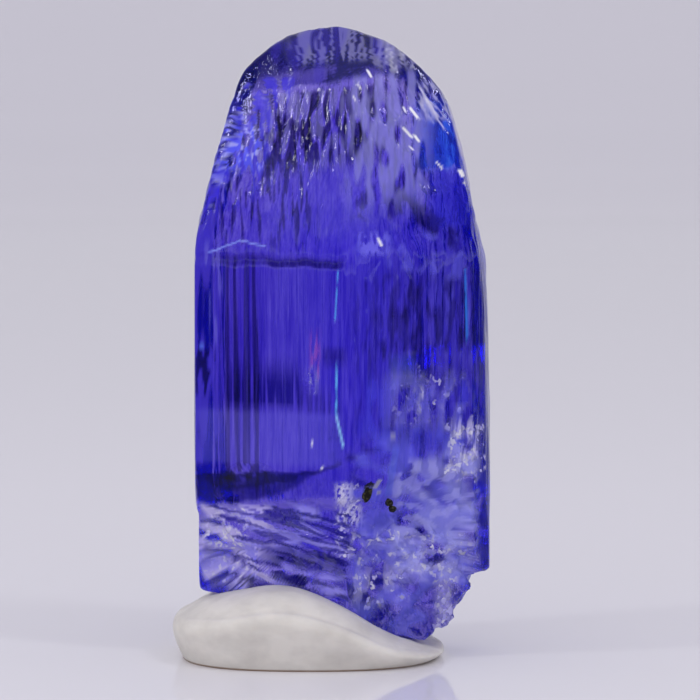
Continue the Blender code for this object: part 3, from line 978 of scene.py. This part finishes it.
    line(CORNFLOWER, 0.6, (1.46, 5.4), (1.72, 7.0), 0.22),
    # Painted white glints.
    line(WHITE, 0.8, (-0.98, 7.05), (-0.9, 7.22), 0.06),
    line(WHITE, 0.7, (-0.66, 6.3), (-0.6, 6.42), 0.08),
)


@dataclass(frozen=True)
class CrystalFinish:
    """Clear violet-blue tanzanite, frosty where its veils and shards lie, with painted highlights and
    reflections among its veils and painted shade among its tints.

    Sizes are in millimetres and depths in metres. Each level says where a pattern
    from zero to one starts to show, and each share how strongly it does.
    """

    ior: float = 1.695
    roughness: float = 0.03
    absorption: float = 470.0
    absorbed_colour: Colour = (0.178, 0.024, 0.975)
    stria_size: tuple[float, float, float] = (0.07, 0.07, 1.8)
    stria_level: float = 0.56
    stria_share: float = 0.6
    stria_depth: float = 0.00002
    film_ior: float = 1.3
    film_roughness: float = 0.4
    shard_size: tuple[float, float, float] = (0.13, 0.13, 0.16)
    shard_wander: float = 1.6
    shard_level: float = 0.08
    shard_cover: float = 0.25
    shard_variety: float = 0.6
    shard_depth: float = 0.00010
    spark_level: float = 0.8
    spark_crowd: float = 0.2
    spark_share: float = 0.7
    crisp: float = 0.12
    soft: float = 0.2
    bare: float = 1e-3
    bare_weight: float = 1e-4

    def paint(self, mesh: bpy.types.Mesh) -> None:
        """Writes the marks into a mesh.

        The mesh's colour tint holds the tint, with painted shade at some marks, and the share of shards
        as its alpha.
        Its second colour holds the colour of veils and shards, painted highlights and reflections among
        them, with the veil as its alpha.

        Args:
            mesh: The crystal's mesh.
        """
        points = np.empty(len(mesh.vertices) * 3)
        mesh.vertices.foreach_get("co", points)
        points = points.reshape(-1, 3) / MM - AXIS
        tinted = np.ones((len(points), 3))
        laid = np.zeros((len(points), 3))
        weight = np.full((len(points), 1), self.bare_weight)
        covered = {layer: np.zeros((len(points), 1)) for layer in (Layer.VEIL, Layer.SHARDS)}
        for mark in MARKS:
            share = mark.share(points)[:, None]
            if mark.layer is Layer.TINT:
                # A clear surface lets the square root of its colour through.
                tinted *= (1.0 - share * (1.0 - np.array(mark.colour))) ** 2
            elif mark.layer is Layer.GAP:
                for cover in covered.values():
                    cover *= 1.0 - share
            else:
                laid = laid * (1.0 - share) + np.array(mark.colour) * share
                weight = weight * (1.0 - share) + share
                covered[mark.layer] += share * (1.0 - covered[mark.layer])
        frost_and_highlights = np.where(weight > self.bare, laid / weight, np.array(LAVENDER))
        for name, colours in (
            ("tint", np.concatenate([tinted, covered[Layer.SHARDS]], axis=1)),
            ("frost_and_highlights", np.concatenate([frost_and_highlights, covered[Layer.VEIL]], axis=1)),
        ):
            attribute = mesh.color_attributes.new(name, "FLOAT_COLOR", "POINT")
            attribute.data.foreach_set("color", colours.ravel())

    def make(self) -> bpy.types.Material:
        """Builds the material.

        Returns:
            The material, which reads the colours that paint writes.
        """
        shader = Shader(bpy.data.materials.new("violet_tanzanite"))
        striae = shader.noise(self.stria_size, detail=2.0)
        drift = shader.noise(self.shard_size, detail=1.0).also("Color")
        wander = shader.vector("MULTIPLY", drift, (self.shard_wander,) * 3)
        place = shader.vector("ADD", shader.place(self.shard_size), wander)
        cells = shader.node("ShaderNodeTexVoronoi", {}, {"Vector": place, "Scale": 1.0}, "Color")
        chance = shader.node("ShaderNodeSeparateXYZ", {}, {"Vector": cells})
        broken = shader.attribute("tint", "Alpha")
        # Each shard is a small flat face that is turned its own way.
        slope = shader.vector("SUBTRACT", cells, CELL_MIDDLE)
        reach = shader.vector("SUBTRACT", place, cells.also("Position"))
        faces = shader.vector("DOT_PRODUCT", slope, reach, "Value") * broken
        ribbed = shader.bump(striae, self.stria_share, self.stria_depth)
        bump = shader.bump(faces, 1.0, self.shard_depth, ribbed)
        veil_share = shader.attribute("frost_and_highlights", "Alpha")
        cover = chance.also("Y") * self.shard_variety + self.shard_cover
        chipped = (broken - chance).above(self.shard_level, self.crisp) * cover
        # The veils' colour holds frosty films and painted highlights and reflections alike.
        frost_and_highlights = shader.attribute("frost_and_highlights", "Color")
        crowded = broken.above(self.spark_crowd, self.soft)
        spark = chance.also("Z").above(self.spark_level, self.soft) * crowded * self.spark_share
        streaks = striae.above(self.stria_level, self.crisp) * self.stria_share
        body = shader.mix(streaks, shader.attribute("tint", "Color"), DEEP_VIOLET, "MULTIPLY")
        clear = shader.principled(
            {
                "Base Color": body,
                "Roughness": self.roughness,
                "IOR": self.ior,
                "Transmission Weight": 1.0,
                "Normal": bump,
            }
        )
        matte_film = shader.principled(
            {
                "Base Color": shader.mix(spark, frost_and_highlights, WHITE),
                "Roughness": self.film_roughness,
                "IOR": self.film_ior,
                "Normal": bump,
            }
        )
        share = 1.0 - (1.0 - veil_share) * (1.0 - chipped)
        surface = shader.node("ShaderNodeMixShader", {}, {0: share, 1: clear, 2: matte_film})
        shader.link(surface, "Surface")
        inside = {"Color": (*self.absorbed_colour, 1.0), "Density": self.absorption}
        shader.link(shader.node("ShaderNodeVolumeAbsorption", {}, inside), "Volume")
        return shader.owner


@dataclass(frozen=True)
class PuttyFinish:
    """White, slightly waxy mounting putty, with a painted brownish contact shadow along its lower edge.
    """

    colour: Colour = (0.82, 0.79, 0.72)
    shade: Colour = (0.69, 0.66, 0.60)
    mottle_size: tuple[float, float, float] = (1.1, 1.1, 0.7)
    mottle_level: float = 0.54
    mottle_blend: float = 0.3
    # The colour of the painted contact shadow along the floor, and the height where it fades.
    contact_shadow: Colour = (0.36, 0.24, 0.16)
    contact_shadow_height: float = 0.05
    lump_size: tuple[float, float, float] = (0.5, 0.5, 0.4)
    lump_share: float = 0.35
    lump_depth: float = 0.00006
    roughness: float = 0.5
    ior: float = 1.45
    glow: float = 0.35
    glow_reach: tuple[float, float, float] = (0.0010, 0.0009, 0.0008)
    glow_scale: float = 0.5

    def make(self) -> bpy.types.Material:
        """Builds the material.

        Returns:
            The material.
        """
        shader = Shader(bpy.data.materials.new("mounting_putty"))
        mottle = shader.noise(self.mottle_size, detail=3.0)
        lumps = shader.noise(self.lump_size, detail=4.0)
        place = {"Vector": shader.place((1.0, 1.0, 1.0))}
        level = shader.node("ShaderNodeSeparateXYZ", {}, place, "Z")
        patches = mottle.above(self.mottle_level, self.mottle_blend)
        clean = shader.mix(patches, self.colour, self.shade)
        # The lowest part of the putty is painted brown as a contact shadow on the floor.
        above_contact_shadow = level.above(self.contact_shadow_height, self.contact_shadow_height)
        surface = shader.principled(
            {
                "Base Color": shader.mix(above_contact_shadow, self.contact_shadow, clean),
                "Roughness": self.roughness,
                "IOR": self.ior,
                "Subsurface Weight": self.glow,
                "Subsurface Radius": self.glow_reach,
                "Subsurface Scale": self.glow_scale,
                "Normal": shader.bump(lumps, self.lump_share, self.lump_depth),
            }
        )
        shader.link(surface, "Surface")
        return shader.owner


@dataclass(frozen=True)
class GraphiteFinish:
    """Dark graphite with a dull sheen and small brassy glints."""

    colour: Colour = (0.018, 0.017, 0.014)
    glint: Colour = (0.14, 0.13, 0.07)
    glint_size: float = 0.08
    glint_level: float = 0.62
    glint_blend: float = 0.2
    roughness: float = 0.35
    metallic: float = 0.4

    def make(self) -> bpy.types.Material:
        """Builds the material.

        Returns:
            The material.
        """
        shader = Shader(bpy.data.materials.new("graphite"))
        spots = shader.noise((self.glint_size,) * 3, detail=3.0)
        glints = spots.above(self.glint_level, self.glint_blend)
        colour = shader.mix(glints, self.colour, self.glint)
        inputs = {"Base Color": colour, "Roughness": self.roughness, "Metallic": self.metallic}
        shader.link(shader.principled(inputs), "Surface")
        return shader.owner


@dataclass(frozen=True)
class StageFinish:
    """A plain pale surface with a faint gloss."""

    colour: Colour
    roughness: float
    ior: float = 1.3

    def make(self) -> bpy.types.Material:
        """Builds the material.

        Returns:
            The material.
        """
        shader = Shader(bpy.data.materials.new("pale_sweep"))
        inputs = {"Base Color": (*self.colour, 1.0), "Roughness": self.roughness, "IOR": self.ior}
        shader.link(shader.principled(inputs), "Surface")
        return shader.owner


def placed_object(name: str, data: bpy.types.ID) -> bpy.types.Object:
    """Puts something into the scene.

    Args:
        name: The object's name.
        data: Its mesh, light or camera.

    Returns:
        The object.
    """
    made = bpy.data.objects.new(name, data)
    bpy.context.scene.collection.objects.link(made)
    return made


def mesh_object(name: str, shape: bmesh.types.BMesh) -> bpy.types.Object:
    """Makes an object of a bmesh and frees the bmesh.

    Args:
        name: The name of the object and its mesh.
        shape: The bmesh, in metres.

    Returns:
        The object, linked to the scene.
    """
    mesh = bpy.data.meshes.new(name)
    shape.to_mesh(mesh)
    shape.free()
    return placed_object(name, mesh)


def wrapped_object(
    name: str, columns: int, rows: int, shape: Callable[[np.ndarray, np.ndarray], np.ndarray]
) -> bpy.types.Object:
    """Makes a closed piece from a grid that is wrapped round it.

    Args:
        name: The piece's name.
        columns: The grid's faces round the piece.
        rows: The grid's faces from its lowest point to its top.
        shape: Gives the points, in millimetres from the axis, for rings and turns.

    Returns:
        The object, linked to the scene.
    """
    grid = bmesh.new()
    bmesh.ops.create_grid(grid, x_segments=columns, y_segments=rows, size=1.0)
    places = np.array([vertex.co for vertex in grid.verts])
    turns = np.rint((places[:, 0] + 1.0) / 2.0 * columns).astype(int) % columns
    rings = np.rint((places[:, 1] + 1.0) / 2.0 * rows).astype(int)
    points = (shape(rings, turns) + AXIS) * MM
    for vertex, point in zip(grid.verts, points):
        vertex.co = point
    bmesh.ops.remove_doubles(grid, verts=grid.verts, dist=MERGE_DISTANCE)
    made = mesh_object(name, grid)
    made.data.shade_smooth()
    return made


@dataclass
class Crystal:
    """The tanzanite crystal with all its striae, etch pits and fractures."""

    form: CrystalForm
    finish: CrystalFinish
    grid: RayGrid = RayGrid(
        430,
        (
            (0, 4.5, -90.0),
            (12, 4.5, -62.0),
            (62, 4.5, 0.0),
            (90, 6.5, 0.0),
            (118, 12.4, 0.0),
            (134, 13.4, 0.0),
            (164, 15.5, 0.0),
            (209, 15.5, 60.0),
            (232, 15.5, 90.0),
        ),
        (1.7, 1.7, 1.2, 0.4, 0.4, 0.4, 0.4, 0.4),
    )

    def points(self, rings: np.ndarray, turns: np.ndarray) -> np.ndarray:
        """Finds the crystal's surface, whose relief is cut along the rays.

        Args:
            rings: Each vertex's row, from the bottom.
            turns: Each vertex's column.

        Returns:
            The points, in millimetres from the axis.
        """
        plain, direction = self.form.surface(self.grid, rings, turns)
        cut = sum(relief.depth(plain) for relief in RELIEFS)
        return plain - cut[:, None] * direction

    def build(self) -> bpy.types.Object:
        """Makes the piece and puts it in the solid's place.

        Returns:
            The piece.
        """
        piece = wrapped_object("fine_crystal", self.grid.columns, self.grid.rows, self.points)
        self.finish.paint(piece.data)
        piece.data.materials.append(self.finish.make())
        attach(piece, "root")
        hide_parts("tanzanite_crystal")
        return piece


@dataclass
class GraphiteFlakes:
    """Flakes of graphite that sit half in the front of the crystal's foot.

    Each flake has its place across, its height, its width and length, and how far
    it is turned in the plane of the front, in degrees.
    """

    finish: GraphiteFinish
    face: Facet = FOOT_FRONT_RIGHT
    thickness: float = 0.16
    sunk: float = 0.02
    bumpiness: float = 0.35
    bumps: float = 3.1
    bump_step: float = 7.0
    flakes: tuple[tuple[float, float, float, float, float], ...] = (
        (0.84, 5.58, 0.32, 0.64, 18.0),
        (1.50, 5.20, 0.22, 0.26, -30.0),
        (1.61, 4.99, 0.26, 0.22, 10.0),
    )

    def build(self) -> bpy.types.Object:
        """Makes the flakes as one piece.

        Returns:
            The piece.
        """
        grains = bmesh.new()
        normal = Vector(self.face.normal())
        for number, (side, height, width, length, turn) in enumerate(self.flakes):
            flake = bmesh.ops.create_icosphere(grains, subdivisions=3, radius=0.5)["verts"]
            for vertex in flake:
                bump = noise.noise(vertex.co * self.bumps + Vector((number * self.bump_step, 0.0, 0.0)))
                vertex.co *= 1.0 + self.bumpiness * bump
            middle = Vector((side, self.face.forward(side, height), height)) - normal * self.sunk
            placed = Matrix.Translation((middle + Vector(AXIS)) * MM)
            facing = Matrix.Rotation(math.radians(self.face.azimuth + 90.0), 4, "Z")
            facing = facing @ Matrix.Rotation(math.radians(turn), 4, "Y")
            size = Matrix.Diagonal((width * MM, self.thickness * MM, length * MM, 1.0))
            bmesh.ops.transform(grains, matrix=placed @ facing @ size, verts=flake)
        piece = mesh_object("graphite_flakes", grains)
        piece.data.materials.append(self.finish.make())
        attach(piece, "root")
        return piece


@dataclass
class PuttyPad:
    """The pad of putty, pressed round the crystal's foot.

    From its middle below to its middle above, the shares of its rows are its
    underside, its side and its top. The top's heights stand over its places and are
    smoothed with what lies nearby, and its rim is rounded.
    """

    form: CrystalForm
    finish: PuttyFinish
    centre_x: float = -1.08
    half_length: float = 4.02
    half_depth: float = 3.3
    squareness: float = 2.5
    bulge: float = 0.34
    under_share: float = 0.3
    side_share: float = 0.4
    smoothing: tuple[float, ...] = (-0.45, -0.25, -0.1, 0.1, 0.25, 0.45)
    rounded: float = 0.22
    rounded_share: float = 0.35
    gap: float = 0.04
    columns: int = 220
    rows: int = 100
    imprint_grid: RayGrid = RayGrid(160, ((0, 4.5, -90.0), (24, 4.5, 0.0), (40, 4.5, 90.0)))
    imprint_top: float = 6.0
    top_places: tuple[float, ...] = (-5.3, -3.6, -2.2, -1.2, 0.2, 1.4, 2.9)
    top_heights: tuple[float, ...] = (1.75, 2.10, 2.45, 2.35, 1.75, 0.95, 0.42)

    def pad_points(self, rings: np.ndarray, turns: np.ndarray) -> np.ndarray:
        """Shapes a pressed lump with a flat underside, which bulges out above the floor.

        Args:
            rings: Each vertex's row, from the middle of the underside.
            turns: Each vertex's column.

        Returns:
            The points, in millimetres from the axis.
        """
        share = rings / self.rows
        azimuth = turns * 2.0 * math.pi / self.columns
        cosine = np.cos(azimuth)
        sine = np.sin(azimuth)
        power = 2.0 / self.squareness
        along = np.sign(cosine) * np.abs(cosine) ** power
        across = np.sign(sine) * np.abs(sine) ** power
        top_share = 1.0 - self.under_share - self.side_share
        under = np.clip(share / self.under_share, 0.0, 1.0)
        up_side = np.clip((share - self.under_share) / self.side_share, 0.0, 1.0)
        over = np.clip((share - 1.0 + top_share) / top_share, 0.0, 1.0)
        spread = under * (1.0 - over)
        bulge = self.bulge * np.sin(up_side * math.pi)
        x = self.centre_x + along * (self.half_length * spread + bulge)
        y = across * (self.half_depth * spread + bulge)
        nearby = [np.interp(x + shift, self.top_places, self.top_heights) for shift in self.smoothing]
        rounding = 1.0 - self.rounded * np.clip(1.0 - over / self.rounded_share, 0.0, 1.0) ** 2
        z = np.mean(nearby, axis=0) * rounding * np.sin(up_side * math.pi / 2.0)
        return np.stack([x, y, z], axis=1)

    def imprint_points(self, rings: np.ndarray, turns: np.ndarray) -> np.ndarray:
        """Finds the foot of the crystal, grown by the small gap that stays round it.

        Args:
            rings: Each vertex's row, from the bottom.
            turns: Each vertex's column.

        Returns:
            The points, in millimetres from the axis.
        """
        points, _ = self.form.surface(self.imprint_grid, rings, turns, self.gap)
        points[:, 2] = np.minimum(points[:, 2], self.imprint_top)
        return points

    def build(self) -> bpy.types.Object:
        """Makes the piece and puts it in the solid's place.

        Returns:
            The piece.
        """
        piece = wrapped_object("pressed_putty", self.columns, self.rows, self.pad_points)
        grid = self.imprint_grid
        imprint = wrapped_object("imprint", grid.columns, grid.rows, self.imprint_points)
        press = piece.modifiers.new("press", "BOOLEAN")
        press.operation = "DIFFERENCE"
        press.object = imprint
        graph = bpy.context.evaluated_depsgraph_get()
        pressed = bpy.data.meshes.new_from_object(piece.evaluated_get(graph))
        piece.modifiers.clear()
        piece.data = pressed
        bpy.data.objects.remove(imprint)
        pressed.materials.clear()
        pressed.materials.append(self.finish.make())
        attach(piece, "root")
        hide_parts("putty_pad")
        return piece


@dataclass(frozen=True)
class Lamp:
    """A soft rectangular light that faces the object, placed in millimetres."""

    name: str
    place: tuple[float, float, float]
    width: float
    height: float
    watts: float

    def build(self, aim: Vector) -> bpy.types.Object:
        """Makes the light.

        Args:
            aim: The point that it faces, in metres.

        Returns:
            The light.
        """
        data = bpy.data.lights.new(self.name, "AREA")
        data.shape = "RECTANGLE"
        data.size = self.width * MM
        data.size_y = self.height * MM
        data.energy = self.watts
        light = placed_object(self.name, data)
        light.location = Vector(self.place) * MM
        light.rotation_euler = (aim - light.location).to_track_quat("-Z", "Y").to_euler()
        return light


@dataclass(frozen=True)
class Room:
    """The pale room round the stage, which is dark where the camera stands.

    Every field but the colour is an amount of light. Reflections on the crystal are
    darkened, and get back what opening, ceiling and floor give behind, above and below.
    horizon is how steeply the bright band over the floor's edge rises and falls.
    Rays through the crystal gain overhead and lose ahead, where the camera stands.
    """

    colour: Colour = (0.60, 0.587, 0.65)
    scattered: float = 0.32
    darkened: float = 0.95
    opening: float = 0.94
    ceiling: float = 0.5
    floor: float = 0.4
    horizon: tuple[float, float] = (60.0, 7.0)
    overhead: float = 1.2
    ahead: float = 0.7
    ahead_spread: float = 1.3

    def build(self) -> None:
        """Makes the world and gives it to the scene."""
        world = bpy.data.worlds.new("studio")
        shader = Shader(world)
        way = shader.node("ShaderNodeTexCoord", {}, {}, "Generated")
        back = shader.node("ShaderNodeSeparateXYZ", {}, {"Vector": way}, "Y")
        height = back.also("Z")
        up = height.held()
        down = (height * -1.0).held()
        behind = back.held()
        ahead = (back * -self.ahead_spread).held()
        reflected = shader.node("ShaderNodeLightPath", {}, {}, "Is Reflection Ray")
        glossy = reflected.also("Is Glossy Ray")
        through = reflected.also("Is Transmission Ray")
        diffuse = reflected.also("Is Diffuse Ray")
        rise, fall = self.horizon
        skyline = (1.0 - height * fall).held() * (height * rise).held()
        open_room = (behind * behind + skyline).held() * self.opening
        mirrored = open_room + up * up * up * self.ceiling + down * self.floor - self.darkened
        seen_through = up * self.overhead - ahead * self.ahead
        light = reflected * glossy * mirrored + through * seen_through + diffuse * self.scattered + 1.0
        inputs = {"Color": (*self.colour, 1.0), "Strength": light}
        shader.link(shader.node("ShaderNodeBackground", {}, inputs), "Surface")
        bpy.context.scene.world = world


@dataclass
class Studio:
    """The pale sweep behind and under the object, the soft lights and the camera."""

    sweep_finish: StageFinish = StageFinish((0.84, 0.83, 0.865), 0.08)
    sweep_rows: int = 80
    floor_reach: float = 1500.0
    sweep_start: float = 180.0
    sweep_radius: float = 180.0
    wall_height: float = 720.0
    room: Room = Room()
    elevation: float = 6.0
    lens: float = 250.0
    sensor: float = 36.0
    nearest: float = 0.001
    farthest: float = 10.0
    frame_width: float = 22.4
    aim: tuple[float, float, float] = (0.576, 0.0, 9.86)
    lamps: tuple[Lamp, ...] = (
        Lamp("right_strip", (70.0, -50.0, 110.0), 10.0, 40.0, 0.02),
        Lamp("left_strip", (-90.0, -40.0, 70.0), 10.0, 40.0, 0.02),
    )
    bounces: int = 16
    glossy_bounces: int = 8

    def build_sweep(self) -> bpy.types.Object:
        """Makes the floor, which curves up into a wall behind the object.

        Returns:
            The sweep.
        """
        grid = bmesh.new()
        bmesh.ops.create_grid(grid, x_segments=2, y_segments=self.sweep_rows, size=1.0)
        for vertex in grid.verts:
            vertex.co = Vector(self.sweep_place(vertex.co.x, (vertex.co.y + 1.0) / 2.0)) * MM
        sweep = mesh_object("sweep", grid)
        sweep.data.shade_smooth()
        sweep.data.materials.append(self.sweep_finish.make())
        sweep.visible_glossy = False
        return sweep

    def sweep_place(self, side: float, share: float) -> tuple[float, float, float]:
        """Finds a point of the sweep: flat floor, then a quarter turn, then the wall.

        Args:
            side: How far across it is, from -1 to 1.
            share: How far along it is, from 0 in front to 1 at the top of the wall.

        Returns:
            The point, in millimetres.
        """
        flat = self.floor_reach + self.sweep_start
        curve = self.sweep_radius * math.pi / 2.0
        run = share * (flat + curve + self.wall_height)
        across = side * self.floor_reach
        if run < flat:
            return (across, run - self.floor_reach, 0.0)
        if run < flat + curve:
            turn = (run - flat) / self.sweep_radius
            back = self.sweep_start + self.sweep_radius * math.sin(turn)
            return (across, back, self.sweep_radius * (1.0 - math.cos(turn)))
        return (across, self.sweep_start + self.sweep_radius, run - flat - curve + self.sweep_radius)

    def build_camera(self) -> bpy.types.Object:
        """Makes the camera at the photograph's viewing angle.

        Returns:
            The camera.
        """
        data = bpy.data.cameras.new("camera")
        data.lens = self.lens
        data.sensor_width = self.sensor
        data.clip_start = self.nearest
        data.clip_end = self.farthest
        camera = placed_object("camera", data)
        distance = self.frame_width * self.lens / self.sensor
        tilt = math.radians(self.elevation)
        away = Vector((0.0, -math.cos(tilt), math.sin(tilt))) * distance
        camera.location = (Vector(self.aim) + away) * MM
        camera.rotation_euler = (-away).to_track_quat("-Z", "Y").to_euler()
        bpy.context.scene.camera = camera
        return camera

    def build(self) -> None:
        """Sets up the whole stage."""
        self.build_sweep()
        self.room.build()
        self.build_camera()
        for lamp in self.lamps:
            lamp.build(Vector(self.aim) * MM)
        scene = bpy.context.scene
        scene.view_settings.view_transform = "Standard"
        scene.cycles.max_bounces = self.bounces
        scene.cycles.transmission_bounces = self.bounces
        scene.cycles.glossy_bounces = self.glossy_bounces


def main() -> None:
    """Builds the object and its stage."""
    logging.basicConfig(level=logging.INFO, format="%(message)s")
    Studio().build()
    form = CrystalForm()
    parts = (
        Crystal(form, CrystalFinish()),
        GraphiteFlakes(GraphiteFinish()),
        PuttyPad(form, PuttyFinish()),
    )
    for part in parts:
        piece = part.build()
        LOG.info("%s: %d faces", piece.name, len(piece.data.polygons))


if __name__ == "__main__":
    main()
